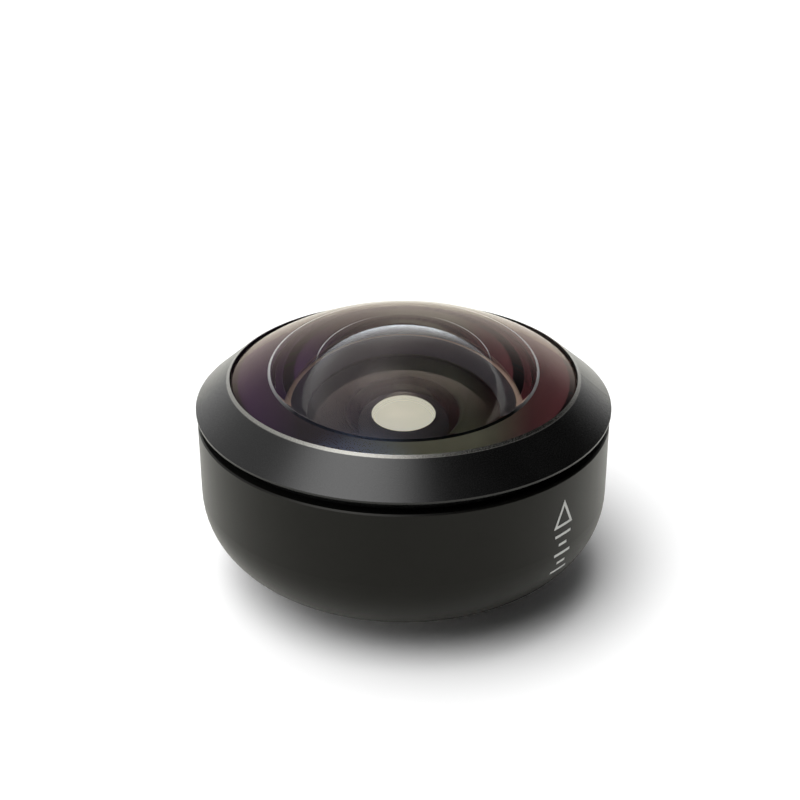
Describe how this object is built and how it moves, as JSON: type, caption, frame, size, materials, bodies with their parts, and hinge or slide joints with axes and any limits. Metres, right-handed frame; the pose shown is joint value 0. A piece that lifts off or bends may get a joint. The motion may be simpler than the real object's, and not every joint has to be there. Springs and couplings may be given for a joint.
{
  "type": "phone fisheye lens",
  "caption": "Domed wide-angle lens in a black bowl-shaped metal body, with a bayonet spigot at the rear that locks into a phone case.",
  "frame": {"origin": "centre of the bayonet mount's rear face, on which the lens stands", "axes": "+Z along the optical axis towards the domed front glass; X and Y across it, with one bayonet lug on +X"},
  "size_m": [0.036, 0.036, 0.0231],
  "materials": {
    "bezel_black": "satin black anodised aluminium",
    "shell_black": "fine bead-blasted black anodised aluminium",
    "barrel_black": "matt black anodised aluminium",
    "lens_glass": "polished optical glass with a purple anti-reflection coating",
    "gasket_rubber": "matt",
    "washer_film": "matt black film",
    "mount_steel": "turned stainless steel",
    "shim_brass": "rolled sheet",
    "screw_steel": "bright steel"
  },
  "bodies": {
    "root": {"front_bezel": "bezel_black", "front_gasket": "gasket_rubber", "front_element": "lens_glass", "front_washer": "washer_film", "body_shell": "shell_black", "neck_gasket": "gasket_rubber", "lens_barrel": "barrel_black", "well_ring": "barrel_black", "second_element": "lens_glass", "second_washer": "washer_film", "third_element": "lens_glass", "stop_spacer": "barrel_black", "crown_element": "lens_glass", "flint_element": "lens_glass", "rear_gasket": "gasket_rubber", "rear_retainer": "barrel_black", "bayonet_mount": "mount_steel", "mount_shim": "shim_brass", "mount_screws": "screw_steel", "locating_pin": "screw_steel"}
  },
  "joints": []
}
